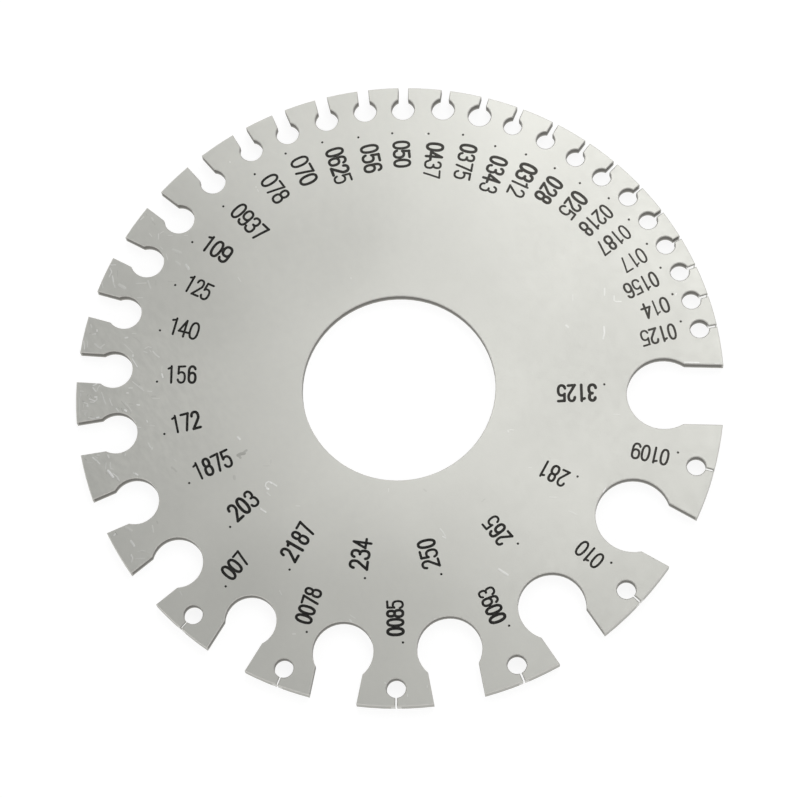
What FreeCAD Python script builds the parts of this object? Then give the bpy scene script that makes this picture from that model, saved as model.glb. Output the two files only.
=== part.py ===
import FreeCAD, Part
import Sketcher
import os
from FreeCAD import Placement, Rotation, Vector

# Wire gauge plate: a flat round stainless plate with a bore in the middle and gauge notches round its rim.
# Millimetres, +Z up out of the face that carries the decimal sizes. The origin is the bore's centre at half
# the plate's thickness, and +X runs along the middle of the widest notch, No. 0. The other notches follow it
# clockwise, seen from above. Every notch has a cutter of its own, which works as on the real plate: it drills
# a relief hole below the rim, cuts a slot as wide as its gauge from the rim into that hole, and breaks the
# edges of both on the two faces.

INCH = 25.4

# Sizes of the plate: name, value in mm
PLATE_SIZES = [
    ("plate_diameter", 82.5),
    ("plate_thickness", 1.5),
    ("bore_diameter", 24.6),
    ("edge_break", 0.1),
    ("medium_drill", 3.0),
    ("fine_drill", 2.4),
    ("slit_depth", 2.3),
    ("cutter_overrun", 0.5),
]

# Notches of the gauge's main run: gauge number, width in inches, angle clockwise from No. 0 in degrees,
# relief hole (its diameter in mm, or the shared drill's name) and depth of its centre below the rim in mm
NOTCHES = [
    (0, 0.3125, 0.0, 9.4, 7.65),
    (1, 0.281, 28.15, 9.5, 7.2),
    (2, 0.265, 54.2, 8.5, 6.75),
    (3, 0.250, 77.2, 8.1, 6.7),
    (4, 0.234, 99.15, 7.6, 6.3),
    (5, 0.2187, 119.15, 6.5, 5.85),
    (6, 0.203, 138.6, 6.5, 5.45),
    (7, 0.1875, 154.1, 6.0, 4.95),
    (8, 0.172, 169.0, 5.4, 4.9),
    (9, 0.156, 182.4, 4.9, 4.6),
    (10, 0.140, 194.55, 4.4, 4.35),
    (11, 0.125, 206.15, 4.3, 4.25),
    (12, 0.109, 217.1, 3.95, 4.35),
    (13, 0.0937, 227.4, 3.3, 3.8),
    (14, 0.078, 237.3, "medium_drill", 3.15),
    (15, 0.070, 245.2, "medium_drill", 3.2),
    (16, 0.0625, 253.35, "medium_drill", 3.15),
    (17, 0.056, 261.1, "medium_drill", 2.9),
    (18, 0.050, 268.55, "medium_drill", 3.0),
    (19, 0.0437, 276.35, "medium_drill", 2.65),
    (20, 0.0375, 283.6, "medium_drill", 2.65),
    (21, 0.0343, 290.4, "fine_drill", 2.7),
    (22, 0.0312, 297.45, "fine_drill", 2.7),
    (23, 0.028, 304.3, "fine_drill", 2.7),
    (24, 0.025, 310.75, "fine_drill", 2.7),
    (25, 0.0218, 317.2, "fine_drill", 2.25),
    (26, 0.0187, 323.25, "fine_drill", 2.25),
    (27, 0.017, 329.2, "fine_drill", 2.2),
    (28, 0.0156, 335.15, "fine_drill", 2.25),
    (29, 0.014, 341.15, "fine_drill", 2.25),
    (30, 0.0125, 347.05, "fine_drill", 2.25),
]

# Fine slits, gauge number and width in inches. Each stands halfway between two of the widest notches: No. 31
# between Nos. 0 and 1, No. 32 between Nos. 1 and 2, and so on. They share the fine drill and slit_depth.
SLITS = [(31, 0.0109), (32, 0.010), (33, 0.0093), (34, 0.0085), (35, 0.0078), (36, 0.007)]
FIRST_SLIT = SLITS[0][0]

# How a constraint names the sketch's own axes
AXIS = {"horizontal": -1, "vertical": -2}


def make_sheet(doc):
    """Spreadsheet with one aliased cell for each driving size."""
    sheet = doc.addObject("Spreadsheet::Sheet", "Sizes")
    sizes = list(PLATE_SIZES)
    for number, inches, angle, relief, depth in NOTCHES:
        sizes.append(("width_no%02d" % number, round(inches * INCH, 4)))
        sizes.append(("angle_no%02d" % number, angle))
        sizes.append(("depth_no%02d" % number, depth))
        if not isinstance(relief, str):
            sizes.append(("relief_no%02d" % number, relief))
    for number, inches in SLITS:
        sizes.append(("width_no%02d" % number, round(inches * INCH, 4)))
    for row, (alias, value) in enumerate(sizes, start=1):
        sheet.set("A%d" % row, alias)
        sheet.set("B%d" % row, str(value))
        sheet.setAlias("B%d" % row, alias)
    doc.recompute()
    return sheet


def list_notches():
    """Every notch as gauge number and the sheet's expressions for width, angle, relief hole and depth."""
    notches = []
    for number, inches, angle, relief, depth in NOTCHES:
        drill = relief if isinstance(relief, str) else "relief_no%02d" % number
        notches.append((number, "Sizes.width_no%02d" % number, "Sizes.angle_no%02d" % number,
                        "Sizes.%s" % drill, "Sizes.depth_no%02d" % number))
    for number, inches in SLITS:
        before = number - FIRST_SLIT
        halfway = "(Sizes.angle_no%02d + Sizes.angle_no%02d) / 2" % (before, before + 1)
        notches.append((number, "Sizes.width_no%02d" % number, halfway,
                        "Sizes.fine_drill", "Sizes.slit_depth"))
    return notches


def new_body(doc, name, angle=None):
    """Body turned clockwise about Z by the expression in angle."""
    body = doc.addObject("PartDesign::Body", name)
    if angle:
        body.Placement = Placement(Vector(0, 0, 0), Rotation(Vector(0, 0, 1), -10))
        body.setExpression("Placement.Rotation.Angle", "-(%s)" % angle)
    return body


def new_sketch(body, name, role):
    """Empty sketch on one of the body's origin planes."""
    sketch = body.newObject("Sketcher::SketchObject", name)
    plane = [feature for feature in body.Origin.OriginFeatures if feature.Role == role][0]
    sketch.AttachmentSupport = (plane, [""])
    sketch.MapMode = "FlatFace"
    return sketch


def bind(sketch, constraint, name, expression):
    """Add a named constraint that takes its value from the sheet."""
    index = sketch.addConstraint(constraint)
    sketch.renameConstraint(index, name)
    sketch.setExpression("Constraints.%s" % name, expression)


def draw_circle(sketch, name, diameter):
    """Circle about the sketch's origin."""
    circle = sketch.addGeometry(Part.Circle(Vector(0, 0, 0), Vector(0, 0, 1), 1.0), False)
    sketch.addConstraint(Sketcher.Constraint("Coincident", circle, 3, -1, 1))
    bind(sketch, Sketcher.Constraint("Diameter", circle, 2.0), name, diameter)


def draw_polygon(sketch, corners):
    """Closed outline of straight lines. Line i starts at corner i."""
    points = [Vector(x, y, 0) for x, y in corners]
    ends = points[1:] + points[:1]
    lines = [sketch.addGeometry(Part.LineSegment(a, b), False) for a, b in zip(points, ends)]
    for line, following in zip(lines, lines[1:] + lines[:1]):
        sketch.addConstraint(Sketcher.Constraint("Coincident", line, 2, following, 1))
    return lines


def mirror(sketch, pairs, axis):
    """Hold pairs of corners, as lines that start there, the same way from one of the sketch's axes."""
    for first, second in pairs:
        sketch.addConstraint(Sketcher.Constraint("Symmetric", first, 1, second, 1, axis))


def size_section(sketch, waist, mouth, half_width):
    """Tie a cutter's section to the sheet, by the lower right corners of its straight waist and mouth."""
    wall = "Sizes.plate_thickness / 2 - Sizes.edge_break"
    reach = "Sizes.plate_thickness / 2 + Sizes.cutter_overrun"
    flare = "Sizes.edge_break + Sizes.cutter_overrun"
    bind(sketch, Sketcher.Constraint("DistanceX", -1, 1, waist, 1, 1.0), "half_width", half_width)
    bind(sketch, Sketcher.Constraint("DistanceY", waist, 1, -1, 1, 1.0), "half_wall", wall)
    bind(sketch, Sketcher.Constraint("DistanceX", waist, 1, mouth, 1, 1.0), "flare", flare)
    bind(sketch, Sketcher.Constraint("DistanceY", mouth, 1, -1, 1, 2.0), "reach", reach)


def make_cutter(doc, number, width, angle, diameter, depth):
    """Cutter of one notch: a drill with both its countersinks, and a slot with flared edges."""
    body = new_body(doc, "Cutter%02d" % number, angle)
    centre = "Sizes.plate_diameter / 2 - %s" % depth

    profile = new_sketch(body, "DrillProfile%02d" % number, "XZ_Plane")
    profile.setExpression("AttachmentOffset.Base.x", centre)
    corners = [(0, -2), (2, -2), (1, -1), (1, 1), (2, 2), (0, 2)]
    foot, mouth, waist, upper_waist, upper_mouth, head = draw_polygon(profile, corners)
    mirror(profile, [(foot, head), (mouth, upper_mouth), (waist, upper_waist)], AXIS["horizontal"])
    profile.addConstraint(Sketcher.Constraint("PointOnObject", foot, 1, AXIS["vertical"]))
    profile.addConstraint(Sketcher.Constraint("Horizontal", foot))
    size_section(profile, waist, mouth, "%s / 2" % diameter)
    drill = body.newObject("PartDesign::Revolution", "Drill%02d" % number)
    drill.Profile = profile
    drill.ReferenceAxis = (profile, ["V_Axis"])
    drill.Angle = 360

    section = new_sketch(body, "SlotSection%02d" % number, "YZ_Plane")
    section.setExpression("AttachmentOffset.Base.z", centre)
    corners = [(2, -2), (1, -1), (1, 1), (2, 2), (-2, 2), (-1, 1), (-1, -1), (-2, -2)]
    lines = draw_polygon(section, corners)
    right, left = lines[:4], lines[:3:-1]
    mirror(section, zip(right[:2], right[:1:-1]), AXIS["horizontal"])
    mirror(section, zip(left[:2], left[:1:-1]), AXIS["horizontal"])
    mirror(section, zip(left[:2], right[:2]), AXIS["vertical"])
    size_section(section, right[1], right[0], "%s / 2" % width)
    slot = body.newObject("PartDesign::Pad", "Slot%02d" % number)
    slot.Profile = section
    slot.setExpression("Length", "%s + Sizes.cutter_overrun" % depth)
    return body


def make_disc(doc):
    """Body of the plate before its notches: a ring with the edges of its rim and bore broken."""
    body = new_body(doc, "GaugePlate")
    body.Label = "gauge_plate"
    ring = new_sketch(body, "Ring", "XY_Plane")
    draw_circle(ring, "plate", "Sizes.plate_diameter")
    draw_circle(ring, "bore", "Sizes.bore_diameter")
    disc = body.newObject("PartDesign::Pad", "Disc")
    disc.Profile = ring
    disc.SideType = "Symmetric"
    disc.setExpression("Length", "Sizes.plate_thickness")
    doc.recompute()
    flat = [
        "Face%d" % index
        for index, face in enumerate(disc.Shape.Faces, start=1)
        if isinstance(face.Surface, Part.Plane)
    ]
    edges = body.newObject("PartDesign::Chamfer", "BrokenEdges")
    edges.Base = (disc, flat)
    edges.setExpression("Size", "Sizes.edge_break")
    return body


def cut_notches(doc, plate, cutters):
    """Take every cutter out of the plate in one step."""
    before = plate.Tip
    notches = plate.newObject("PartDesign::Boolean", "Notches")
    notches.setObjects(cutters)
    notches.Type = "Cut"
    doc.recompute()
    if not notches.Shape.Volume < before.Shape.Volume:
        raise RuntimeError("the cutters take nothing away")


def check_document(doc, body):
    """Raise unless every object has been worked out and the plate is one valid solid."""
    for item in doc.Objects:
        if "Invalid" in item.State or "Error" in item.State:
            raise RuntimeError("%s is in state %s" % (item.Label, item.State))
    if body.Shape.isNull() or not body.Shape.isValid() or len(body.Shape.Solids) != 1:
        raise RuntimeError("%s isn't one valid solid" % body.Label)


def main():
    doc = FreeCAD.newDocument("WireGaugePlate")
    make_sheet(doc)
    plate = make_disc(doc)
    cutters = [make_cutter(doc, *notch) for notch in list_notches()]
    cut_notches(doc, plate, cutters)
    check_document(doc, plate)
    os.makedirs("parts", exist_ok=True)
    plate.Shape.exportStep("parts/%s.step" % plate.Label)
    box = plate.Shape.BoundBox
    print("%s: %.1f mm3, box %.2f x %.2f x %.2f mm, %d faces" % (
        plate.Label, plate.Shape.Volume, box.XLength, box.YLength, box.ZLength, len(plate.Shape.Faces)))


main()
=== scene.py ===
import math

import bpy
import numpy as np
from mathutils import Matrix, Vector


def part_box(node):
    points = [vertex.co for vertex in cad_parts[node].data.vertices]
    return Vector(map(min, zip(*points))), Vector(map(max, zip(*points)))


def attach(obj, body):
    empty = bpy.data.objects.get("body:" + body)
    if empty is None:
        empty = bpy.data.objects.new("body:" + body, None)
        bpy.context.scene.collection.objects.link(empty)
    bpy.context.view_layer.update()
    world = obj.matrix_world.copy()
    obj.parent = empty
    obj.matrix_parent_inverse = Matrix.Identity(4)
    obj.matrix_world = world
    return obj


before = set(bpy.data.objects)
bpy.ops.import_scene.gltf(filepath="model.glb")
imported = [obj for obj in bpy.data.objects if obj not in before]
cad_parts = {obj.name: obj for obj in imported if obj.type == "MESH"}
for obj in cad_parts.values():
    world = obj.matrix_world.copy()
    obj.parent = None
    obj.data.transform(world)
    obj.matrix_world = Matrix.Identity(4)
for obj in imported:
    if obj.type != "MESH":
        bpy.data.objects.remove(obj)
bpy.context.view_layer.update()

mm = 0.001
plateNode = "gauge_plate"
plateLow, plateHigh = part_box(plateNode)
topZ = plateHigh.z
underZ = plateLow.z


# Small helpers for node trees and meshes

def addNode(tree, kind, place=(0, 0), **settings):
    node = tree.nodes.new(kind)
    node.location = (place[0] * 200, place[1] * 160)
    for name, value in settings.items():
        setattr(node, name, value)
    return node


def link(tree, source, target):
    tree.links.new(source, target)


def mathNode(tree, operation, first, second=None, place=(0, 0), clamp=False):
    node = addNode(tree, "ShaderNodeMath", place, operation=operation, use_clamp=clamp)
    for socket, value in zip(node.inputs, (first, second)):
        if value is None:
            continue
        if isinstance(value, (int, float)):
            socket.default_value = value
        else:
            link(tree, value, socket)
    return node.outputs[0]


def mapRange(tree, value, fromLow, fromHigh, toLow, toHigh, place=(0, 0), smooth=False):
    node = addNode(tree, "ShaderNodeMapRange", place)
    if smooth:
        node.interpolation_type = "SMOOTHSTEP"
    link(tree, value, node.inputs["Value"])
    for name, number in (("From Min", fromLow), ("From Max", fromHigh), ("To Min", toLow), ("To Max", toHigh)):
        node.inputs[name].default_value = number
    return node.outputs["Result"]


def mixColour(tree, factor, first, second, place=(0, 0), blend="MIX"):
    node = addNode(tree, "ShaderNodeMix", place, data_type="RGBA", blend_type=blend)
    for name, value in (("Factor", factor), ("A", first), ("B", second)):
        socket = [s for s in node.inputs if s.name == name and s.type == ("VALUE" if name == "Factor" else "RGBA")][0]
        if isinstance(value, (int, float, tuple)):
            socket.default_value = value
        else:
            link(tree, value, socket)
    return [s for s in node.outputs if s.type == "RGBA"][0]


def greyNode(tree, level, place=(0, 0)):
    node = addNode(tree, "ShaderNodeCombineColor", place)
    for name in ("Red", "Green", "Blue"):
        link(tree, level, node.inputs[name])
    return node.outputs["Color"]


def noiseNode(tree, vector, scale, detail, place=(0, 0)):
    node = addNode(tree, "ShaderNodeTexNoise", place)
    node.inputs["Scale"].default_value = scale
    node.inputs["Detail"].default_value = detail
    link(tree, vector, node.inputs["Vector"])
    return node.outputs["Fac"]


def distanceNode(tree, vector, centre, place=(0, 0)):
    node = addNode(tree, "ShaderNodeVectorMath", place, operation="DISTANCE")
    link(tree, vector, node.inputs[0])
    node.inputs[1].default_value = centre
    return node.outputs["Value"]


def linear(level):
    # sRGB level from 0 to 255 to a linear value
    x = level / 255
    return x / 12.92 if x <= 0.04045 else ((x + 0.055) / 1.055) ** 2.4


def colour(red, green, blue):
    return (linear(red), linear(green), linear(blue), 1.0)


def newGroup(name, outputs):
    # A group with no inputs that puts out one number for each name in outputs
    group = bpy.data.node_groups.new(name, "ShaderNodeTree")
    for label in outputs:
        group.interface.new_socket(name=label, in_out="OUTPUT", socket_type="NodeSocketFloat")
    return group, addNode(group, "NodeGroupOutput", (6, 0))


def placeGroup(tree, group, place=(0, 0)):
    node = addNode(tree, "ShaderNodeGroup", place)
    node.node_tree = group
    return node.outputs


def newMaterial(name):
    material = bpy.data.materials.new(name)
    material.use_nodes = True
    tree = material.node_tree
    tree.nodes.clear()
    output = addNode(tree, "ShaderNodeOutputMaterial", (8, 0))
    shader = addNode(tree, "ShaderNodeBsdfPrincipled", (6, 0))
    link(tree, shader.outputs["BSDF"], output.inputs["Surface"])
    return material, tree, shader


def meshPiece(name, points, faces, material):
    mesh = bpy.data.meshes.new(name)
    mesh.from_pydata(points.tolist(), [], [list(face) for face in faces])
    mesh.validate()
    mesh.update()
    mesh.materials.append(material)
    piece = bpy.data.objects.new(name, mesh)
    bpy.context.scene.collection.objects.link(piece)
    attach(piece, "root")
    return piece


# Camera: aimed at a point on the marked face, at the photograph's angle
cameraSet = {
    "aim": (0.106 * mm, -1.568 * mm, topZ),
    "azimuth": 11.113,     # degrees that it stands east of south
    "tilt": 17.917,        # degrees off straight down
    "roll": -9.273,
    "distance": 389.4 * mm,
    "focalPixels": 3069.3,
    "imagePixels": 798,
    "sensor": 36.0,
    "clip": (0.01, 10),    # nearest and farthest that it sees, metres
}


def makeCamera(s):
    data = bpy.data.cameras.new("camera")
    data.sensor_width = s["sensor"]
    data.lens = s["focalPixels"] / s["imagePixels"] * s["sensor"]
    data.clip_start, data.clip_end = s["clip"]
    turn = (Matrix.Rotation(math.radians(s["azimuth"]), 4, "Z")
            @ Matrix.Rotation(math.radians(s["tilt"]), 4, "X")
            @ Matrix.Rotation(math.radians(s["roll"]), 4, "Z"))
    back = turn @ Vector((0, 0, 1))
    camera = bpy.data.objects.new("camera", data)
    camera.matrix_world = Matrix.Translation(Vector(s["aim"]) + back * s["distance"]) @ turn
    bpy.context.scene.collection.objects.link(camera)
    bpy.context.scene.camera = camera


makeCamera(cameraSet)
print("camera is up")


# Steel of the plate
steelSet = {
    "face": colour(215, 215, 209),
    "wall": colour(108, 106, 100),      # painted shade on the cut walls inside the notches and the bore
    "wallFoot": colour(186, 185, 179),  # the same, lighter near the underside: a painted reflection of the floor
    # rim: the outer rim's wall, painted lighter for the light it gets where it stands open
    "rim": colour(172, 171, 165),
    # slit: the fine slits' walls, painted near white: painted light
    "slit": colour(250, 250, 248),
    # edgeLight: the broken edges' own colour, painted light for how they catch the surround
    "edgeLight": colour(208, 207, 202),
    "faceRoughness": 0.4,
    "wallRoughness": 0.5,
    "slitRoughness": 0.15,
    "roughSwing": 0.03,       # how far the speckle moves the roughness
    "grainScale": 900.0,      # fine satin speckle, per metre
    "cloudScale": 110.0,
    "fleckScale": 1500.0,
    "fleckAngle": 125,        # degrees, the way that the flecks lie
    "fleckStretch": 2.0,      # length of a fleck to its width
    "noiseReach": (0.3, 0.7),    # levels of the noise that give the darkest and the lightest speckle and cloud
    "fleckReach": (0.35, 0.65),  # the same for flecks
    "grainBump": 0.02,
    "bumpDistance": 0.02 * mm,
    "grainShare": 0.016,      # how far the speckle lightens or darkens the face
    "cloudShare": 0.02,       # how far the soft clouds do
    "fleckShare": 0.035,      # how far the short flecks do at wornPlace, where the lands are most worn
    "wornPlace": (-38.0 * mm, -3.0 * mm, 0.0),
    "wornReach": (6 * mm, 20 * mm),
    "wornRest": 0.12,         # what is left of the flecks elsewhere
    "rimRadius": 41.0 * mm,
    "slitRadius": 40.1 * mm,
    "slitReach": 0.9,         # degrees either side of a slit's middle line
    "slitTop": 0.4 * mm,
    "softEdge": 0.1 * mm,     # how far a mask takes to change
    "wallLimits": (0.25, 0.5),    # a normal's share of z below which a surface is a wall, and above which it isn't
    "flatLimits": (0.85, 0.95),   # the same for what isn't flat, and what is
}

# Middle lines of the finest slits, degrees clockwise from the widest notch
fineSlits = [14.075, 41.175, 65.7, 88.175, 109.15, 128.875, -24.85, -18.85, -12.95]


def grainGroup(s):
    # Fine speckle, soft clouds and short flecks from noise on object coordinates. Worn falls from 1 to wornRest
    # over wornReach round wornPlace.
    group, sink = newGroup("satin grain", ("Speckle", "Clouds", "Flecks", "Worn"))
    place = addNode(group, "ShaderNodeTexCoord", (-6, 2)).outputs["Object"]
    slant = addNode(group, "ShaderNodeMapping", (-4, -4), vector_type="TEXTURE")
    slant.inputs["Rotation"].default_value = (0.0, 0.0, math.radians(s["fleckAngle"]))
    slant.inputs["Scale"].default_value = (s["fleckStretch"], 1.0, 1.0)
    link(group, place, slant.inputs["Vector"])
    away = distanceNode(group, place, s["wornPlace"], (-2, -6))
    near, far = s["wornReach"]
    results = {
        "Speckle": noiseNode(group, place, s["grainScale"], 3, (-2, 2)),
        "Clouds": noiseNode(group, place, s["cloudScale"], 4, (-2, -2)),
        "Flecks": noiseNode(group, slant.outputs["Vector"], s["fleckScale"], 2, (-2, -4)),
        "Worn": mapRange(group, away, near, far, 1.0, s["wornRest"], (0, -6), smooth=True),
    }
    for name, value in results.items():
        link(group, value, sink.inputs[name])
    return group


# Soft round fields of painted sheen and shade, partly the polish, where the face is lighter or darker: x, y, radius
# in millimetres, and share at the middle
sheenAndPolishRows = [
    (0.0, -6.0, 24.0, 0.125),
    (0.0, -27.0, 17.0, -0.074),
    (-27.0, 15.0, 17.0, -0.079),
    (12.0, 42.0, 24.0, 0.11),
    (30.0, 6.0, 17.0, -0.068),
    (-18.0, -27.0, 12.0, -0.093),
    (-9.0, 21.0, 12.0, -0.068),
    (21.0, -15.0, 12.0, 0.063),
    (-18.0, 39.0, 24.0, 0.062),
]


def sheenAndPolishGroup(rows):
    # Level is 1 plus the sum of the fields' shares, each eased to 0 at its radius
    group, sink = newGroup("sheenAndPolish", ("Level",))
    place = addNode(group, "ShaderNodeTexCoord", (-6, 0)).outputs["Object"]
    level = 1.0
    for k, (x, y, radius, share) in enumerate(rows):
        away = distanceNode(group, place, (x * mm, y * mm, topZ), (-4, -k))
        field = mapRange(group, away, 0.0, radius * mm, share, 0.0, (-2, -k), smooth=True)
        level = mathNode(group, "ADD", field, level, (k, -k))
    link(group, level, sink.inputs["Level"])
    return group


def wallGroup(s):
    # Masks: walls stand upright and edges are the broken ones. LitFoot, for a painted reflection of the floor on the
    # walls, grows from 0 at half the wall to 1 at the underside, and rim, for the rim's painted light, is past
    # rimRadius. Slits, for the slits' near-white painted light, are past slitRadius, within slitReach of a line in
    # fineSlits and under slitTop.
    names = ("Walls", "Edges", "LitFoot", "Rim", "Slits")
    group, sink = newGroup("cut walls", names)
    coordinates = addNode(group, "ShaderNodeTexCoord", (-6, 0))
    normal = addNode(group, "ShaderNodeSeparateXYZ", (-5, 0))
    link(group, coordinates.outputs["Normal"], normal.inputs["Vector"])
    upright = mathNode(group, "ABSOLUTE", normal.outputs["Z"], place=(-4, 0))
    walls = mapRange(group, upright, *s["wallLimits"], 1.0, 0.0, (-2, 1))
    notFlat = mapRange(group, upright, *s["flatLimits"], 1.0, 0.0, (-2, -1))
    place = addNode(group, "ShaderNodeSeparateXYZ", (-5, -3))
    link(group, coordinates.outputs["Object"], place.inputs["Vector"])
    foot = mapRange(group, place.outputs["Z"], 0.0, underZ, 0.0, 1.0, (-2, -2), smooth=True)
    flat = addNode(group, "ShaderNodeCombineXYZ", (-4, -4))
    link(group, place.outputs["X"], flat.inputs["X"])
    link(group, place.outputs["Y"], flat.inputs["Y"])
    radius = addNode(group, "ShaderNodeVectorMath", (-3, -4), operation="LENGTH")
    link(group, flat.outputs["Vector"], radius.inputs[0])
    soft = s["softEdge"]
    rim = mapRange(group, radius.outputs["Value"], s["rimRadius"], s["rimRadius"] + soft, 0.0, 1.0, (-2, -4))
    outer = mapRange(group, radius.outputs["Value"], s["slitRadius"], s["slitRadius"] + soft, 0.0, 1.0, (-2, -5))
    minusY = mathNode(group, "MULTIPLY", place.outputs["Y"], -1.0, (-4, -6))
    angle = mathNode(group, "ARCTAN2", minusY, place.outputs["X"], (-3, -6))
    deep = mapRange(group, place.outputs["Z"], s["slitTop"] + soft, s["slitTop"] - soft, 0.0, 1.0, (-2, -3))
    near = None
    for k, degrees in enumerate(fineSlits):
        hit = addNode(group, "ShaderNodeMath", (-2, -6 - k), operation="COMPARE")
        link(group, angle, hit.inputs[0])
        hit.inputs[1].default_value = math.radians(degrees)
        hit.inputs[2].default_value = math.radians(s["slitReach"])
        near = hit.outputs[0] if near is None else mathNode(group, "MAXIMUM", near, hit.outputs[0], (-1, -6 - k))
    edges = mathNode(group, "SUBTRACT", notFlat, walls, (0, -1), clamp=True)
    slits = mathNode(group, "MULTIPLY", mathNode(group, "MULTIPLY", near, outer, (0, -5)), deep, (1, -5))
    for name, value in zip(names, (walls, edges, foot, rim, slits)):
        link(group, value, sink.inputs[name])
    return group


def makeSteel(s, grain, walls, sheenAndPolish):
    material, tree, shader = newMaterial("satinSteel")
    shader.inputs["Metallic"].default_value = 1.0
    texture = placeGroup(tree, grain, (-4, 2))
    mask = placeGroup(tree, walls, (-4, -2))
    cloud, speck, fleck = s["cloudShare"], s["grainShare"], s["fleckShare"]
    tint = mapRange(tree, texture["Clouds"], *s["noiseReach"], 1 - cloud, 1 + cloud, (-2, 3))
    specks = mapRange(tree, texture["Speckle"], *s["noiseReach"], 1 - speck, 1 + speck, (-2, 2))
    swing = mapRange(tree, texture["Flecks"], *s["fleckReach"], -fleck, fleck, (-3, 4))
    worn = mathNode(tree, "MULTIPLY", swing, texture["Worn"], (-2, 4))
    level = mathNode(tree, "MULTIPLY", mathNode(tree, "MULTIPLY", tint, specks, (-1, 2)),
                     mathNode(tree, "ADD", worn, 1.0, (-1, 4)), (0, 3))
    # painted sheen and shade across the face, partly the polish
    level = mathNode(tree, "MULTIPLY", level, placeGroup(tree, sheenAndPolish, (-1, 5))["Level"], (0, 4))
    face = mixColour(tree, 1.0, s["face"], greyNode(tree, level, (0, 2)), (1, 2), "MULTIPLY")
    # Painted light: the broken edges get their own lit colour, and the cut walls painted shade, a painted reflection
    # of the floor at the foot, painted light on the rim and near-white painted light in the fine slits
    edged = mixColour(tree, mask["Edges"], face, s["edgeLight"], (2, 2))
    cut = mixColour(tree, mask["LitFoot"], s["wall"], s["wallFoot"], (0, 0))
    cut = mixColour(tree, mask["Slits"], cut, s["slit"], (1, 0))
    cut = mixColour(tree, mask["Rim"], cut, s["rim"], (2, 0))
    both = mixColour(tree, mask["Walls"], edged, cut, (3, 1))
    link(tree, both, shader.inputs["Base Color"])
    rough, stray = s["faceRoughness"], s["roughSwing"]
    fine = mapRange(tree, texture["Speckle"], *s["noiseReach"], rough - stray, rough + stray, (-1, -2))
    worked = mathNode(tree, "MAXIMUM", mask["Walls"], mask["Edges"], (-1, -3))
    cutShare = mathNode(tree, "MULTIPLY", worked, s["wallRoughness"] - rough, (0, -3))
    slitWalls = mathNode(tree, "MULTIPLY", mask["Slits"], mask["Walls"], (-1, -4))
    slitShare = mathNode(tree, "MULTIPLY", slitWalls, s["slitRoughness"] - s["wallRoughness"], (0, -4))
    cutRough = mathNode(tree, "ADD", cutShare, slitShare, (1, -4))
    link(tree, mathNode(tree, "ADD", fine, cutRough, (2, -3)), shader.inputs["Roughness"])
    bump = addNode(tree, "ShaderNodeBump", (3, -3))
    bump.inputs["Strength"].default_value = s["grainBump"]
    bump.inputs["Distance"].default_value = s["bumpDistance"]
    link(tree, texture["Speckle"], bump.inputs["Height"])
    link(tree, bump.outputs["Normal"], shader.inputs["Normal"])
    return material


def dressPlate(s, sheenAndPolish):
    material = makeSteel(s, grainGroup(s), wallGroup(s), sheenAndPolish)
    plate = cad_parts[plateNode]
    if not plate.data.materials:
        plate.data.materials.append(material)
    for slot in plate.material_slots:
        slot.material = material


sheenAndPolish = sheenAndPolishGroup(sheenAndPolishRows)
dressPlate(steelSet, sheenAndPolish)
print("plate has its steel")


# Marks: each digit is one or more strokes of an engraver's round cutter
markSet = {
    "ink": colour(18, 18, 17),
    # sheenInk: the ink where the painted sheen is full
    "sheenInk": colour(84, 82, 77),
    "sheenWay": (0.8, 0.6, 0.0),
    "sheenReach": 34 * mm,    # either side of the middle
    "sheenPower": 3.0,
    "patchScale": 2500.0,    # patchy ink, per metre
    "patchReach": (0.35, 0.75),
    "patchShare": 0.35,
    "inkRoughness": 0.5,
    "inkShine": 0.2,
    "dotDiameter": 0.33 * mm,
    "proud": 0.012 * mm,     # how far a stroke stands above the face
    "sunk": 0.006 * mm,      # how far its foot lies in it
    "round": 2.35,           # exponent of the ovals: 2 is an ellipse, more is boxier
    "strokes": {"a": 0.22, "b": 0.26, "c": 0.30, "d": 0.34, "e": 0.38, "f": 0.42, "g": 0.46, "h": 0.50},
}

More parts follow.
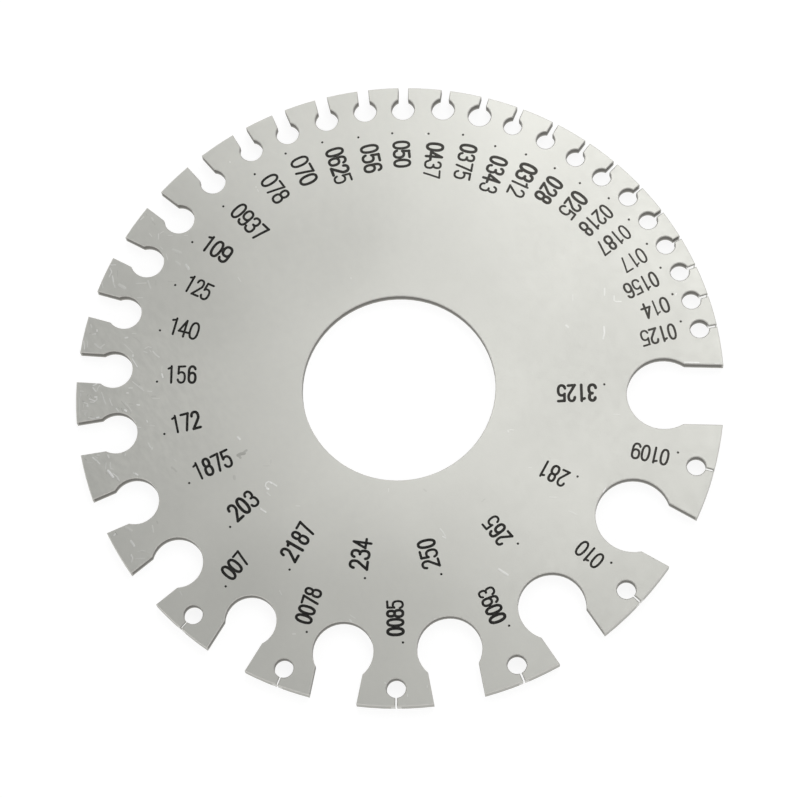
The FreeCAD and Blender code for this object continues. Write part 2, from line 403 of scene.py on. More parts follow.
# Labels: digits after the point, notch's angle clockwise from the widest, radius of the first digit's middle,
# pitch, top and foot of the digits beside the notch's middle line, tilt of the line in degrees, width of a digit,
# each digit's weight of stroke, and radius and side of the point. Lengths are millimetres, and a digit's top,
# foot and width are those of its strokes' middle lines.
labelRows = [
    ("3125", 0.0, 24.48, 1.29, 1.17, -0.91, 2.7, 0.82, "gfff", 26.05, -1.00),
    ("0109", 14.3, 34.77, 1.21, 0.79, -1.15, 2.7, 0.88, "dddd", 36.28, -1.23),
    ("281", 28.15, 24.03, 1.32, 1.21, -0.86, 1.6, 0.85, "ded", 25.53, -0.92),
    ("010", 41.3, 33.76, 1.22, 0.66, -1.30, 2.1, 0.93, "ddd", 35.27, -1.33),
    ("265", 54.2, 23.93, 1.32, 1.16, -0.89, 2.8, 0.82, "efd", 25.52, -0.97),
    ("0093", 65.8, 32.65, 1.19, 0.89, -1.04, 0.1, 0.86, "gfed", 34.08, -1.05),
    ("250", 77.2, 23.52, 1.33, 1.32, -0.75, 1.7, 0.89, "eef", 25.10, -0.75),
    ("0085", 88.3, 31.78, 1.15, 1.03, -0.90, 1.8, 0.83, "gffd", 33.20, -0.87),
    ("234", 99.15, 23.69, 1.40, 1.38, -0.81, 2.4, 0.95, "ffe", 25.28, -0.82),
    ("0078", 109.35, 32.22, 1.18, 0.87, -1.08, 2.8, 0.86, "ffee", 33.70, -1.08),
    ("2187", 119.15, 25.75, 1.28, 1.42, -0.78, -0.4, 0.87, "fgfe", 27.35, -0.73),
    ("007", 129.1, 32.08, 1.17, 1.06, -0.92, 0.2, 0.90, "ffd", 33.63, -0.82),
    ("203", 138.6, 26.19, 1.36, 1.50, -0.69, 2.2, 0.91, "fge", 27.85, -0.67),
    ("1875", 154.1, 27.50, 1.29, 1.44, -0.77, 0.2, 0.87, "dfee", 29.17, -0.65),
    ("172", 169.0, 28.62, 1.27, 0.97, -1.22, 2.8, 0.87, "def", 30.30, -1.18),
    ("156", 182.4, 29.12, 1.36, 0.89, -1.29, 3.5, 0.85, "dde", 30.88, -1.28),
    ("140", 194.55, 30.05, 1.32, 1.07, -1.08, 1.5, 1.03, "ddd", 31.72, -1.07),
    ("125", 206.15, 30.53, 1.23, 1.00, -1.18, 0.3, 0.85, "ddd", 32.17, -1.15),
    ("109", 217.1, 31.59, 1.36, 0.87, -1.29, 4.5, 1.05, "eff", 33.47, -1.38),
    ("0937", 227.4, 31.98, 1.37, 1.05, -1.14, 2.1, 1.02, "eeee", 33.85, -1.18),
    ("078", 237.3, 33.09, 1.36, 1.06, -1.14, 2.6, 1.04, "ede", 34.90, -1.27),
    ("070", 245.2, 33.59, 1.37, 1.07, -1.13, 2.9, 1.08, "eef", 35.47, -1.28),
    ("0625", 253.35, 33.34, 1.29, 0.99, -1.16, 2.3, 0.92, "ffgd", 35.17, -1.30),
    ("056", 261.1, 32.86, 1.36, 1.05, -1.10, 3.5, 0.93, "fff", 34.73, -1.28),
    ("050", 268.55, 33.09, 1.27, 0.86, -1.14, 3.6, 0.92, "fff", 34.82, -1.35),
    ("0437", 276.35, 33.10, 1.26, 0.79, -1.24, 1.9, 0.92, "gfdc", 34.88, -1.35),
    ("0375", 283.6, 33.67, 1.27, 0.87, -1.16, 3.3, 0.89, "gedd", 35.42, -1.35),
    ("0343", 290.4, 33.26, 1.34, 1.25, -0.89, 2.1, 0.88, "gffd", 35.07, -1.03),
    ("0312", 297.45, 33.95, 1.19, 1.08, -1.06, 2.0, 0.93, "hgdd", 35.57, -1.25),
    ("028", 304.3, 34.13, 1.26, 0.90, -1.23, -0.3, 0.85, "gfg", 35.77, -1.32),
    ("025", 310.75, 34.39, 1.26, 0.87, -1.29, 3.5, 0.88, "ged", 36.03, -1.52),
    ("0218", 317.2, 35.53, 1.17, 0.63, -1.38, 1.4, 0.80, "ddde", 37.02, -1.52),
    ("0187", 323.25, 35.53, 1.16, 0.54, -1.41, 2.6, 0.82, "ccec", 37.05, -1.52),
    ("017", 329.2, 35.57, 1.15, 0.71, -1.26, 2.0, 0.88, "cbb", 37.03, -1.32),
    ("0156", 335.15, 35.48, 1.17, 0.60, -1.35, 2.3, 0.80, "dccd", 36.97, -1.47),
    ("014", 341.15, 35.50, 1.21, 0.59, -1.35, 2.2, 0.90, "dbd", 36.95, -1.45),
    ("0125", 347.05, 35.41, 1.17, 0.66, -1.30, 2.9, 0.82, "dddc", 36.85, -1.43),
]

# Strokes of each digit in a box one wide and one high, foot at 0. "line" runs through its points. "arc" has a
# centre, two radii and two angles in degrees, and a whole turn closes it.
digitStrokes = {
    "0": [[("arc", 0.5, 0.5, 0.5, 0.5, 90, 450)]],
    "1": [[("line", (0.55, 1.0), (0.57, 0.0))], [("line", (0.12, 0.86), (0.53, 0.93))]],
    "2": [[("arc", 0.5, 0.73, 0.48, 0.27, 172, -22), ("line", (0.90, 0.57), (0.02, 0.0))],
          [("line", (0.02, 0.0), (1.02, 0.02))]],
    "3": [[("arc", 0.47, 0.765, 0.45, 0.235, 165, -88)], [("arc", 0.46, 0.27, 0.53, 0.27, 88, -165)]],
    "4": [[("line", (0.62, 0.0), (0.60, 1.0))], [("line", (0.60, 1.0), (-0.08, 0.29))],
          [("line", (-0.08, 0.29), (1.12, 0.29))]],
    "5": [[("line", (0.98, 1.0), (0.06, 0.98))], [("line", (0.06, 0.98), (0.03, 0.56))],
          [("arc", 0.46, 0.32, 0.54, 0.32, 138, -158)]],
    "6": [[("arc", 0.5, 0.30, 0.5, 0.30, 90, 450)],
          [("arc", 0.5, 0.66, 0.5, 0.34, 28, 180), ("line", (0.0, 0.66), (0.0, 0.32))]],
    "7": [[("line", (-0.02, 0.98), (1.0, 1.0))], [("line", (1.0, 1.0), (0.74, 0.55), (0.46, 0.0))]],
    "8": [[("arc", 0.5, 0.765, 0.42, 0.235, 90, 450)], [("arc", 0.5, 0.27, 0.5, 0.27, 90, 450)]],
    "9": [[("arc", 0.5, 0.70, 0.5, 0.30, 90, 450)],
          [("arc", 0.5, 0.34, 0.5, 0.34, 208, 360), ("line", (1.0, 0.34), (1.0, 0.68))]],
}


def sampleStroke(parts, roundness, step=9.0):
    # Points along a stroke. An arc's point at angle a is centre + radii * sign(c) * |c| ** (2 / roundness), with
    # cos a as c for x and sin a for y.
    points = []
    for kind, *values in parts:
        if kind == "line":
            points.append(np.array(values, float))
            continue
        centreX, centreY, radiusX, radiusY, start, end = values
        angles = np.radians(np.linspace(start, end, max(3, int(abs(end - start) / step) + 1)))
        c, d = np.cos(angles), np.sin(angles)
        power = 2 / roundness
        points.append(np.stack([centreX + radiusX * np.sign(c) * np.abs(c) ** power,
                                centreY + radiusY * np.sign(d) * np.abs(d) ** power], axis=1))
    path = np.concatenate(points)
    closed = np.allclose(path[0], path[-1], atol=1e-6)
    keep = np.r_[True, np.linalg.norm(np.diff(path, axis=0), axis=1) > 1e-4]
    path = path[keep]
    return (path[:-1], True) if closed else (path, False)


# A stroke's section across the path: side from -1 to 1 and height from 0 to 1
strokeSection = np.array([(-1.0, 0.0), (-0.72, 0.75), (0.0, 1.0), (0.72, 0.75), (1.0, 0.0)])
roundEnd = np.radians([80.0, 55.0, 28.0])  # rings of a round end, from its tip inwards


def strokeSurface(path, closed, width, heights):
    # Section carried along the path: point = path + normal * side * width / 2, with height from foot to top.
    # An open path gets a round end by rings that narrow as the cosine while they move out as the sine.
    tangent = np.roll(path, -1, axis=0) - np.roll(path, 1, axis=0) if closed else np.gradient(path, axis=0)
    tangent /= np.linalg.norm(tangent, axis=1, keepdims=True)
    scale = np.ones(len(path))
    if not closed:
        outward = width / 2 * np.sin(roundEnd)[:, None]
        head = path[0] - tangent[0] * outward
        tail = (path[-1] + tangent[-1] * outward)[::-1]
        path = np.concatenate([head, path, tail])
        more = len(roundEnd)
        tangent = np.concatenate([np.repeat(tangent[:1], more, 0), tangent, np.repeat(tangent[-1:], more, 0)])
        scale = np.concatenate([np.cos(roundEnd), scale, np.cos(roundEnd)[::-1]])
    normal = np.stack([-tangent[:, 1], tangent[:, 0]], axis=1)
    side = strokeSection[None, :, 0] * scale[:, None] * width / 2
    flat = path[:, None, :] + normal[:, None, :] * side[..., None]
    foot, top = heights
    high = foot + (top - foot) * strokeSection[None, :, 1] * np.sqrt(scale)[:, None]
    points = np.concatenate([flat, high[..., None]], axis=2).reshape(-1, 3)
    rings, across = len(path), len(strokeSection)
    ring = np.arange(rings if closed else rings - 1)[:, None]
    column = np.arange(across)[None, :]
    following = (ring + 1) % rings
    beside = (column + 1) % across
    faces = np.stack([ring * across + column, ring * across + beside,
                      following * across + beside, following * across + column], axis=2).reshape(-1, 4)
    faces = [tuple(face) for face in faces[:, ::-1].tolist()]
    if not closed:
        faces.append(tuple(range(across)))
        faces.append(tuple((rings - 1) * across + i for i in reversed(range(across))))
    return points, faces


def joinSurfaces(surfaces):
    points, faces, start = [], [], 0
    for surfacePoints, surfaceFaces in surfaces:
        points.append(surfacePoints)
        faces += [tuple(i + start for i in face) for face in surfaceFaces]
        start += len(surfacePoints)
    return np.concatenate(points), faces


def placeOnFace(points, corner, along, up):
    # Local x, y, z to the plate: corner + along * x + up * y, with z as height
    flat = corner + points[:, :1] * along + points[:, 1:2] * up
    return np.concatenate([flat, points[:, 2:]], axis=1)


def digitSurfaces(digit, centre, width, height, strokeWidth, s, heights):
    surfaces = []
    for parts in digitStrokes[digit]:
        path, closed = sampleStroke(parts, s["round"])
        path = np.stack([centre + (path[:, 0] - 0.5) * width, path[:, 1] * height], axis=1)
        surfaces.append(strokeSurface(path, closed, strokeWidth, heights))
    return surfaces


def labelSurfaces(row, s, heights):
    # The digits of a row, and its point: a ring so wide that it closes into a disc
    text, angle, firstRadius, pitch, top, foot, tilt, width, weights, dotRadius, dotSide = row
    turn, lean = math.radians(angle), math.radians(tilt)
    outward = np.array([math.cos(turn), -math.sin(turn)])
    clockwise = np.array([-math.sin(turn), -math.cos(turn)])
    along = -outward * math.cos(lean) + clockwise * math.sin(lean)
    up = clockwise * math.cos(lean) + outward * math.sin(lean)
    corner = outward * firstRadius * mm + clockwise * foot * mm
    surfaces = []
    for i, (digit, weight) in enumerate(zip(text, weights)):
        surfaces += [(placeOnFace(points, corner, along, up), faces) for points, faces in digitSurfaces(
            digit, i * pitch * mm, width * mm, (top - foot) * mm, s["strokes"][weight] * mm, s, heights)]
    dot = outward * dotRadius * mm + clockwise * dotSide * mm
    ring = np.radians(np.arange(0, 360, 30.0))
    path = np.stack([np.cos(ring), np.sin(ring)], axis=1) * s["dotDiameter"] / 4
    points, faces = strokeSurface(path, True, s["dotDiameter"] / 2, heights)
    surfaces.append((placeOnFace(points, dot, along, up), faces))
    return surfaces


def makeInk(s):
    # Black that gets paler towards the fine notches as a painted sheen, with a power of the way along sheenWay
    material, tree, shader = newMaterial("blackMark")
    place = addNode(tree, "ShaderNodeTexCoord", (-6, 0)).outputs["Object"]
    along = addNode(tree, "ShaderNodeVectorMath", (-4, 1), operation="DOT_PRODUCT")
    link(tree, place, along.inputs[0])
    along.inputs[1].default_value = s["sheenWay"]
    reach = s["sheenReach"]
    way = mapRange(tree, along.outputs["Value"], -reach, reach, 0.0, 1.0, (-3, 1))
    sheen = mathNode(tree, "POWER", way, s["sheenPower"], (-2, 1))
    noise = noiseNode(tree, place, s["patchScale"], 3, (-4, -1))
    patchy = mapRange(tree, noise, *s["patchReach"], 0.0, s["patchShare"], (-2, -1))
    share = mathNode(tree, "ADD", sheen, patchy, (0, 0), clamp=True)
    link(tree, mixColour(tree, share, s["ink"], s["sheenInk"], (2, 0)), shader.inputs["Base Color"])
    shader.inputs["Roughness"].default_value = s["inkRoughness"]
    shader.inputs["Specular IOR Level"].default_value = s["inkShine"]
    return material


def makeMarks(s):
    ink = makeInk(s)
    heights = (topZ - s["sunk"], topZ + s["proud"])
    surfaces = []
    for row in labelRows:
        surfaces += labelSurfaces(row, s, heights)
    points, faces = joinSurfaces(surfaces)
    meshPiece("size_marks", points, faces, ink)


makeMarks(markSet)
print("size marks are on")


# Wear on the marked face: nicks, scratches and smudges as shallow strokes, the lighter ones partly a painted glint
wearAndGlintSet = {
    "proud": 0.004 * mm,
    "sunk": 0.006 * mm,
    "light": colour(250, 250, 248),
    "dark": colour(120, 119, 114),
    "roughness": 0.4,
    "shortest": 0.3,  # least length of a stroke's middle line, as a share of its width
    # x, y, direction in degrees, length and width in millimetres, and tone from -1, dark, to 1, light with a painted
    # glint
    "strokes": [
        (-36.03, -12.36, 130, 1.42, 0.36, 1.0),
        (37.05, 4.18, 0, 2.01, 0.25, 0.54),
        (-33.92, 2.47, 125, 1.4, 0.19, 0.68),
        (-33.29, -0.65, 143, 2.1, 0.15, 0.43),
        (14.0, -23.84, 148, 1.65, 0.31, 0.54),
        (-16.38, -16.69, 149, 0.98, 0.24, 0.75),
        (-39.07, -2.64, 160, 0.95, 0.19, 0.68),
        (-32.64, -21.38, 127, 1.1, 0.34, 0.54),
        (26.33, -12.92, 59, 0.76, 0.17, 0.75),
        (-30.27, 0.84, 110, 0.72, 0.25, 0.79),
        (-37.53, 13.79, 103, 1.07, 0.25, 0.5),
        (-38.24, -10.45, 141, 0.78, 0.23, 0.68),
        (-38.88, -1.23, 130, 0.8, 0.25, 0.61),
        (-20.01, -7.27, 134, 0.68, 0.32, 0.61),
        (-33.11, -3.16, 172, 0.53, 0.22, 0.75),
        (-30.89, -2.25, 1, 1.02, 0.13, 0.32),
        (-38.66, -2.23, 180, 0.39, 0.26, 0.82),
        (-34.97, -20.31, 52, 0.47, 0.28, 0.68),
        (-35.23, 5.85, 12, 0.52, 0.29, 0.61),
        (-38.24, 4.67, 40, 0.76, 0.22, 0.39),
        (-36.49, -10.08, 117, 0.59, 0.22, 0.5),
        (6.48, -19.55, 151, 0.58, 0.2, 0.5),
        (-35.1, -12.93, 117, 0.54, 0.25, 0.54),
        (-39.09, 6.73, 95, 0.4, 0.25, 0.71),
        (-27.82, 15.54, 112, 0.56, 0.27, 0.5),
        (40.24, 4.12, 1, 0.75, 0.13, 0.36),
        (-21.12, 14.11, 126, 0.8, 0.19, 0.32),
        (-34.22, 3.45, 95, 0.4, 0.25, 0.64),
        (34.93, 13.3, 74, 0.42, 0.2, 0.61),
        (-31.83, -5.31, 111, 0.42, 0.2, 0.61),
        (-34.25, -0.92, 1, 0.64, 0.26, 0.39),
        (-34.59, -1.6, 180, 0.39, 0.26, 0.64),
        (-13.67, -27.21, 120, 0.7, 0.17, 0.36),
        (-4.77, -30.55, 136, 0.48, 0.24, 0.5),
        (-33.03, 19.95, 131, 0.7, 0.19, 0.32),
        (-37.84, -1.8, 114, 0.55, 0.15, 0.39),
        (-36.13, -11.41, 106, 0.67, 0.2, 0.32),
        (-32.69, -22.96, 103, 0.4, 0.29, 0.54),
        (-20.89, -31.25, 76, 0.64, 0.15, 0.32),
        (-0.1, -38.34, 153, 0.4, 0.12, 0.5),
        (-39.88, 7.34, 112, 0.55, 0.24, 0.36),
        (-11.72, -32.46, 1, 0.5, 0.27, 0.39),
        (-39.66, -3.46, 117, 0.3, 0.22, 0.64),
        (-30.97, -8.9, 95, 0.39, 0.25, 0.46),
        (19.38, 30.5, 128, 0.61, 0.16, 0.29),
        (-34.35, -9.81, 77, 0.4, 0.2, 0.43),
        (15.62, -19.86, 42, 0.48, 0.14, 0.36),
        (-0.74, -13.6, 92, 0.51, 0.13, 0.32),
        (16.95, -10.2, 1, 0.5, 0.13, 0.32),
        (2.68, -39.81, 92, 0.37, 0.13, 0.43),
        (-23.26, 30.33, 106, 0.29, 0.23, 0.54),
        (-39.81, -4.47, 58, 0.48, 0.21, 0.32),
        (-40.11, -3.47, 94, 0.52, 0.13, 0.29),
        (-19.38, 26.42, 122, 0.43, 0.15, 0.32),
        (5.07, -38.61, 92, 0.37, 0.18, 0.36),
        (14.06, -5.51, 109, 0.41, 0.2, 0.32),
        (2.17, 34.74, 132, 0.31, 0.16, 0.39),
        (28.8, 23.71, 50, 0.31, 0.16, 0.39),
        (-31.28, 3.63, 111, 0.42, 0.2, 0.29),
        (-39.32, 6.25, 114, 0.3, 0.22, 0.39),
        (5.61, -30.09, 48, 0.3, 0.17, 0.39),
        (-19.66, 26.9, 106, 0.29, 0.23, 0.32),
        (-6.72, 14.6, 102, 0.28, 0.24, 0.29),
    ],
    # points of a bent or short stroke as x and y in turn, its width and its tone
    "curls": [
        ((-14.89, -13.41, -15.35, -13.12, -15.61, -13.0, -15.93, -12.87, -16.23, -13.08, -16.31, -13.47,
          -16.04, -13.81), 0.24, 0.62),
        ((-15.53, -13.05, -15.71, -12.95), 0.28, 0.9),
        ((-16.07, -13.78, -15.91, -13.86), 0.33, 0.95),
        ((-16.04, -14.38, -15.64, -14.7), 0.23, 0.3),
        ((-19.96, -9.51, -19.67, -9.35, -19.23, -9.26), 0.53, -0.41),
        ((-19.22, -9.07, -18.95, -8.85), 0.38, -0.3),
        ((-19.77, -9.69, -19.66, -9.82), 0.4, -0.3),
        ((-19.61, -9.4, -19.23, -9.34), 0.2, -0.5),
        ((-20.31, -12.31, -20.24, -12.6), 0.45, -0.15),
        ((-16.67, -10.83, -15.91, -10.81), 0.12, -0.12),
        ((-15.74, -10.04, -15.74, -10.44), 0.15, -0.1),
        ((25.83, 13.89, 25.84, 13.0), 0.25, 0.32),
        ((27.06, 12.9, 27.07, 12.29, 27.32, 12.14, 27.96, 12.17), 0.2, 0.45),
        ((25.86, 8.68, 25.94, 7.87, 25.77, 7.13), 0.28, 0.5),
        ((21.76, 12.91, 21.81, 12.24), 0.23, 0.22),
        ((21.03, 8.77, 21.29, 8.58), 0.31, 0.4),
        ((-39.64, 6.17, -39.26, 6.32), 0.17, 0.5),
        ((-40.03, 6.28, -39.84, 6.37), 0.14, -0.17),
        ((-40.74, 5.26, -40.53, 4.19), 0.17, 0.7),
        ((-40.28, 5.28, -40.16, 4.47), 0.14, 0.4),
        ((-39.22, 4.89, -38.81, 4.5, -38.41, 4.33), 0.28, 0.35),
        ((-34.52, 6.42, -34.03, 6.44), 0.12, 0.4),
        ((-34.26, 5.96, -33.85, 5.69, -33.44, 5.3), 0.15, -0.09),
        ((-35.48, 4.98, -34.86, 4.39, -34.24, 3.79), 0.15, 0.3),
        ((-32.74, 4.43, -32.36, 4.69, -31.97, 4.59), 0.16, 0.38),
        ((-32.84, 4.03, -32.44, 3.89), 0.16, 0.36),
        ((-32.13, 4.25, -31.93, 3.98), 0.15, 0.3),
        ((-31.68, 4.05, -31.26, 3.59, -30.86, 3.33), 0.24, 0.42),
        ((-30.39, 2.06, -30.4, 1.32), 0.14, 0.3),
        ((-34.47, 22.07, -34.1, 22.43), 0.23, 0.45),
        ((-33.81, 22.99, -33.63, 22.63), 0.12, -0.15),
        ((-33.02, 22.31, -32.84, 22.04), 0.25, 0.32),
        ((-32.89, 21.83, -32.54, 21.43), 0.15, -0.14),
        ((-32.01, 20.11, -31.96, 19.42), 0.17, 0.38),
        ((-31.81, 20.2, -31.37, 20.49), 0.15, 0.3),
        ((-30.75, 19.96, -30.16, 19.97), 0.12, 0.4),
        ((-28.66, 20.0, -28.18, 20.01), 0.12, 0.4),
        ((-29.97, 17.95, -29.04, 17.61), 0.5, 0.15),
        ((-28.15, 15.92, -27.78, 15.38), 0.42, 0.4),
        ((-29.48, 16.3, -29.0, 15.97), 0.45, 0.15),
        ((-37.96, 15.71, -37.31, 15.75), 0.17, 0.6),
        ((-37.99, 15.23, -37.75, 14.75, -38.04, 14.06), 0.19, 0.55),
        ((-37.41, 13.18, -37.17, 12.64), 0.17, 0.32),
        ((-38.9, 13.21, -38.72, 12.53), 0.15, 0.36),
        ((-36.61, 12.99, -35.93, 12.62), 0.55, 0.3),
        ((-34.41, 13.23, -33.19, 13.34), 0.21, 0.3),
        ((-32.94, 13.62, -32.76, 13.14, -32.56, 12.67), 0.26, 0.27),
        ((-31.91, 13.71, -31.87, 13.09), 0.12, -0.12),
        ((-30.28, 13.61, -29.18, 13.63), 0.12, -0.1),
        ((-30.84, 17.38, -30.57, 16.56), 0.12, 0.36),
        ((-31.62, 18.33, -31.34, 18.06), 0.15, 0.36),
        ((-36.96, 14.97, -36.91, 14.22), 0.17, -0.1),
        ((-34.22, 11.29, -33.51, 11.31), 0.15, 0.42),
        ((-39.04, -0.7, -38.66, -0.49), 0.23, 0.7),
        ((-38.24, -0.68, -38.47, -1.09, -38.59, -1.49), 0.19, 0.34),
        ((-40.67, -1.48, -40.32, -1.51), 0.23, 0.34),
        ((-40.62, -1.82, -40.56, -2.14), 0.17, 0.3),
        ((-37.7, -2.14, -37.54, -2.61, -37.3, -3.14), 0.2, 0.36),
        ((-39.29, -2.92, -38.8, -2.93, -38.47, -2.57, -38.48, -2.17), 0.14, 0.7),
        ((-39.34, -2.05, -39.04, -2.4), 0.14, -0.2),
        ((-39.71, -2.12, -39.62, -1.85), 0.12, -0.17),
        ((-40.08, -3.02, -39.69, -3.11, -39.51, -3.51), 0.16, 0.6),
        ((-40.29, -2.81, -40.12, -2.88), 0.15, -0.25),
        ((-40.74, -2.42, -40.61, -3.75, -40.47, -5.08), 0.16, 0.25),
        ((-40.26, -4.14, -39.62, -4.13), 0.2, 0.25),
        ((-39.95, -4.35, -39.75, -4.72), 0.2, 0.25),
        ((-39.36, -5.0, -38.9, -5.12, -38.58, -5.06), 0.16, 0.6),
        ((-38.3, -4.98, -38.07, -4.94), 0.28, 0.9),
        ((-39.13, -4.86, -38.98, -4.83), 0.12, -0.2),
        ((-36.84, -2.46, -36.67, -2.91, -36.46, -3.3), 0.2, 0.34),
        ((-35.89, -3.69, -35.62, -4.03), 0.19, 0.62),
        ((-34.76, -3.88, -34.59, -4.01), 0.3, 0.95),
        ((-35.21, -3.67, -35.05, -4.1), 0.15, -0.23),
        ((-35.6, -3.52, -35.46, -3.68), 0.12, -0.17),
        ((-35.3, -2.69, -34.85, -3.21, -34.3, -3.78, -33.96, -4.32), 0.16, -0.14),
        ((-34.82, -2.94, -34.33, -3.41, -33.9, -3.99), 0.16, 0.28),
        ((-34.24, -3.03, -33.85, -3.04), 0.23, -0.1),
        ((-31.98, -1.29, -31.54, -1.34), 0.21, 0.42),
        ((-31.48, -8.19, -31.32, -8.58, -31.13, -8.79), 0.19, 0.42),
        ((-33.07, -6.13, -32.63, -6.13), 0.14, 0.6),
        ((-31.42, -5.86, -30.91, -5.91), 0.25, 0.22),
        ((-33.1, -0.57, -32.67, -0.94), 0.15, 0.32),
        ((-33.19, -0.36, -32.97, -0.62), 0.12, -0.15),
        ((-31.47, -1.95, -30.91, -1.94), 0.12, -0.17),
        ((-37.93, -10.65, -37.73, -10.88, -37.51, -11.09), 0.19, 0.62),
        ((-38.16, -10.18, -37.82, -10.33), 0.16, 0.4),
        ((-37.92, -9.96, -37.59, -9.94), 0.14, 0.7),
        ((-39.42, -10.5, -39.23, -10.63), 0.15, -0.2),
        ((-39.07, -10.93, -38.44, -11.01), 0.15, 0.24),
        ((-36.71, -10.96, -36.73, -11.76), 0.15, 0.4),
        ((-36.18, -10.87, -36.18, -11.35, -36.07, -11.69, -35.76, -11.76), 0.16, 0.42),
        ((-35.75, -12.31, -35.31, -12.64, -34.89, -13.21), 0.2, 0.5),
        ((-36.62, -12.2, -36.45, -12.41), 0.14, -0.17),
        ((-33.13, -12.19, -32.95, -12.24), 0.23, 0.4),
        ((-32.84, -12.26, -32.58, -12.44), 0.28, 0.8),
        ((-28.27, -11.33, -27.93, -11.53, -27.68, -11.79), 0.35, -0.11),
        ((-29.7, -18.45, -29.61, -18.65), 0.25, -0.14),
        ((-30.28, -19.06, -30.11, -19.84), 0.25, 0.25),
        ((-34.89, -19.97, -34.67, -20.3), 0.14, -0.25),
        ((-33.53, -19.36, -32.93, -19.73), 0.45, 0.2),
        ((-28.13, -10.22, -27.81, -10.47), 0.15, 0.2),
        ((-31.87, -22.43, -31.42, -22.29, -30.99, -22.36), 0.17, 0.26),
        ((-32.72, -22.9, -32.52, -23.28, -32.58, -23.8), 0.2, 0.45),
        ((-32.19, -23.35, -31.05, -23.3), 0.14, 0.3),
        ((-26.26, -27.43, -26.0, -27.87), 0.16, 0.3),
        ((-4.86, -29.85, -4.22, -30.24), 0.16, 0.3),
        ((3.73, -13.4, 3.98, -13.61), 0.25, -0.12),
        ((11.06, -14.79, 11.42, -14.46), 0.2, -0.09),
        ((5.92, -18.44, 6.31, -18.88, 6.6, -19.39), 0.19, 0.32),
        ((-16.77, -16.31, -16.36, -16.61), 0.15, 0.3),
        ((-12.29, -15.96, -11.84, -15.97), 0.17, 0.3),
        ((19.49, -13.99, 20.31, -14.02), 0.16, 0.26),
        ((27.35, -2.93, 28.06, -2.96), 0.16, 0.26),
        ((21.97, -15.75, 22.98, -16.19), 0.17, 0.2),
        ((14.25, -5.34, 14.67, -5.33), 0.17, 0.3),
    ],
}


def wearAndGlintSurfaces(s, heights):
    # A stroke for each row, straight or through the row's points, with the row's tone at each of its points
    surfaces, tones = [], []
    for x, y, degrees, length, width, tone in s["strokes"]:
        turn = math.radians(degrees)
        along = np.array([math.cos(turn), math.sin(turn)])
        up = np.array([-along[1], along[0]])
        reach = max(length - width, s["shortest"] * width) / 2 * mm
        path = np.array([(-reach, 0.0), (0.0, 0.0), (reach, 0.0)])
        points, faces = strokeSurface(path, False, width * mm, heights)
        surfaces.append((placeOnFace(points, np.array([x, y]) * mm, along, up), faces))
        tones += [tone] * len(points)
    for places, width, tone in s["curls"]:
        path = np.array(places).reshape(-1, 2) * mm
        if len(path) == 2:
            path = np.array([path[0], path.mean(axis=0), path[1]])
        points, faces = strokeSurface(path, False, width * mm, heights)
        surfaces.append((points, faces))
        tones += [tone] * len(points)
    return surfaces, tones


def makeWearAndGlintSteel(s, sheenAndPolish):
    material, tree, shader = newMaterial("wornAndGlintSteel")
    shader.inputs["Metallic"].default_value = 1.0
    tone = addNode(tree, "ShaderNodeAttribute", (-4, 0), attribute_name="wearAndGlintTone").outputs["Fac"]
    # lighter strokes carry a painted glint, darker ones the wear's own shade of colour
    lighter = mathNode(tree, "MULTIPLY", tone, 1.0, (-2, 1), clamp=True)
    darker = mathNode(tree, "MULTIPLY", tone, -1.0, (-2, -1), clamp=True)
    bright = mixColour(tree, lighter, steelSet["face"], s["light"], (0, 1))
    worn = mixColour(tree, darker, bright, s["dark"], (2, 0))
    shade = greyNode(tree, placeGroup(tree, sheenAndPolish, (0, 3))["Level"], (1, 2))
    link(tree, mixColour(tree, 1.0, worn, shade, (4, 0), "MULTIPLY"), shader.inputs["Base Color"])
    shader.inputs["Roughness"].default_value = s["roughness"]
    return material


def makeWearAndGlints(s, sheenAndPolish):
    surfaces, tones = wearAndGlintSurfaces(s, (topZ - s["sunk"], topZ + s["proud"]))
    points, faces = joinSurfaces(surfaces)
    piece = meshPiece("face_wear_and_glints", points, faces, makeWearAndGlintSteel(s, sheenAndPolish))
    attribute = piece.data.attributes.new("wearAndGlintTone", "FLOAT", "POINT")
    attribute.data.foreach_set("value", np.array(tones, dtype=np.float32))


makeWearAndGlints(wearAndGlintSet, sheenAndPolish)
print("wear is on")


# Floor, world and lamps
studioSet = {
    "floorSize": 3.0,
    "floorDrop": 0.03 * mm,
    "shadowShare": 0.24,     # share of the seen floor's brightness that takes the shadow
    "litShare": 0.5,         # part of shadowShare that the lamps give back where there is no shadow
    "floorShade": 0.8,       # what the plate's edges see of the floor
    "horizon": 1.0,
    "zenith": 0.08,
    "dimHeights": (0.35, 0.9),  # heights of a direction, from 0 to 1, between which the surround dims
    "lampSide": 0.2,
    "lampAim": (0.0, 0.0, 0.0),
}
lampRows = [
    # name, place in metres, power in watts
    ("overhead", (0.0, 0.1, 0.35), 0.11),
    ("right", (0.12, 0.1, 0.35), 0.057),
    ("backRight", (0.12, 0.25, 0.35), 0.214),
    ("back", (0.0, 0.4, 0.35), 0.22),
]


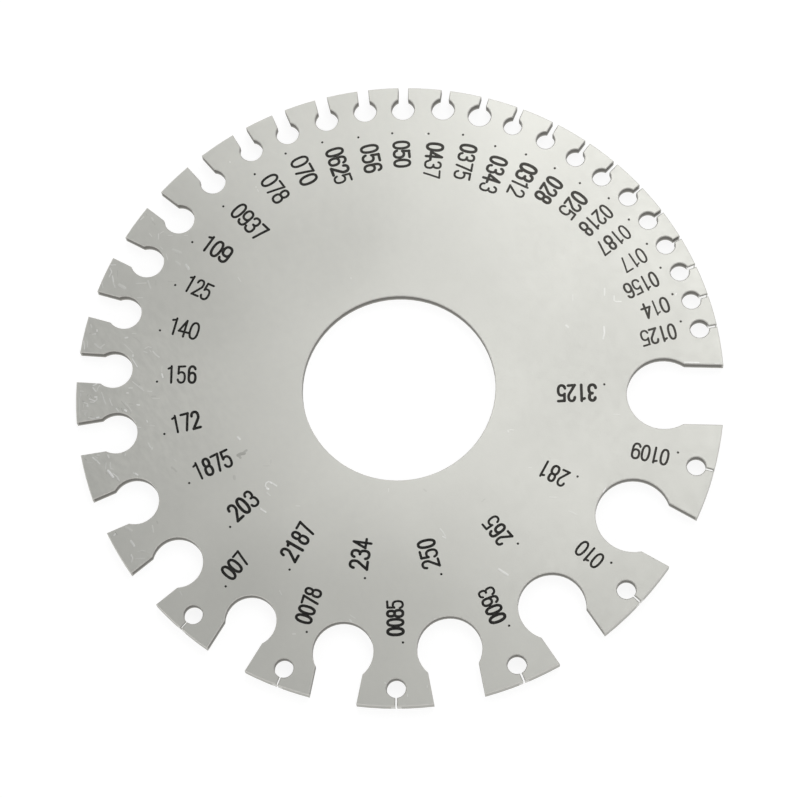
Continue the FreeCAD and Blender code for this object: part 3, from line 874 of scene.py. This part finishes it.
def makeFloor(s):
    half = s["floorSize"] / 2
    z = underZ - s["floorDrop"]
    mesh = bpy.data.meshes.new("floor")
    mesh.from_pydata([(-half, -half, z), (half, -half, z), (half, half, z), (-half, half, z)], [], [(0, 1, 2, 3)])
    floor = bpy.data.objects.new("floor", mesh)
    bpy.context.scene.collection.objects.link(floor)
    material = bpy.data.materials.new("floorPale")
    material.use_nodes = True
    tree = material.node_tree
    tree.nodes.clear()
    output = addNode(tree, "ShaderNodeOutputMaterial", (6, 0))
    diffuse = addNode(tree, "ShaderNodeBsdfDiffuse", (0, 1))
    glow = addNode(tree, "ShaderNodeEmission", (0, -1))
    glow.inputs["Color"].default_value = (1, 1, 1, 1)
    rays = addNode(tree, "ShaderNodeLightPath", (-6, 0)).outputs
    mirrored = mathNode(tree, "MAXIMUM", rays["Is Glossy Ray"], rays["Is Transmission Ray"], (-5, 0))
    seen = mathNode(tree, "MAXIMUM", rays["Is Camera Ray"], mirrored, (-4, 0))
    shade, share = s["floorShade"], s["shadowShare"]
    pale = mixColour(tree, seen, (shade, shade, shade, 1.0), (share, share, share, 1.0), (-2, 1))
    link(tree, pale, diffuse.inputs["Color"])
    link(tree, mathNode(tree, "MULTIPLY", seen, 1.0 - share * s["litShare"], (-2, -1)), glow.inputs["Strength"])
    both = addNode(tree, "ShaderNodeAddShader", (3, 0))
    link(tree, diffuse.outputs["BSDF"], both.inputs[0])
    link(tree, glow.outputs["Emission"], both.inputs[1])
    link(tree, both.outputs["Shader"], output.inputs["Surface"])
    mesh.materials.append(material)


def makeWorld(s):
    # A surround that is bright at the horizon and dim overhead
    world = bpy.data.worlds.new("studio")
    bpy.context.scene.world = world
    world.use_nodes = True
    tree = world.node_tree
    tree.nodes.clear()
    output = addNode(tree, "ShaderNodeOutputWorld", (4, 0))
    background = addNode(tree, "ShaderNodeBackground", (2, 0))
    background.inputs["Color"].default_value = (1, 1, 1, 1)
    direction = addNode(tree, "ShaderNodeTexCoord", (-4, 0)).outputs["Generated"]
    parts = addNode(tree, "ShaderNodeSeparateXYZ", (-2, 0))
    link(tree, direction, parts.inputs["Vector"])
    low, high = s["dimHeights"]
    strength = mapRange(tree, parts.outputs["Z"], low, high, s["horizon"], s["zenith"], (0, 0), smooth=True)
    link(tree, strength, background.inputs["Strength"])
    link(tree, background.outputs["Background"], output.inputs["Surface"])


def makeLamps(s, rows):
    for name, place, power in rows:
        data = bpy.data.lights.new(name, "AREA")
        data.shape = "RECTANGLE"
        data.size = data.size_y = s["lampSide"]
        data.energy = power
        lamp = bpy.data.objects.new(name, data)
        direction = Vector(s["lampAim"]) - Vector(place)
        lamp.matrix_world = Matrix.Translation(place) @ direction.to_track_quat("-Z", "Y").to_matrix().to_4x4()
        bpy.context.scene.collection.objects.link(lamp)


makeFloor(studioSet)
makeWorld(studioSet)
makeLamps(studioSet, lampRows)
bpy.context.scene.view_settings.view_transform = "Standard"
print("studio is lit")
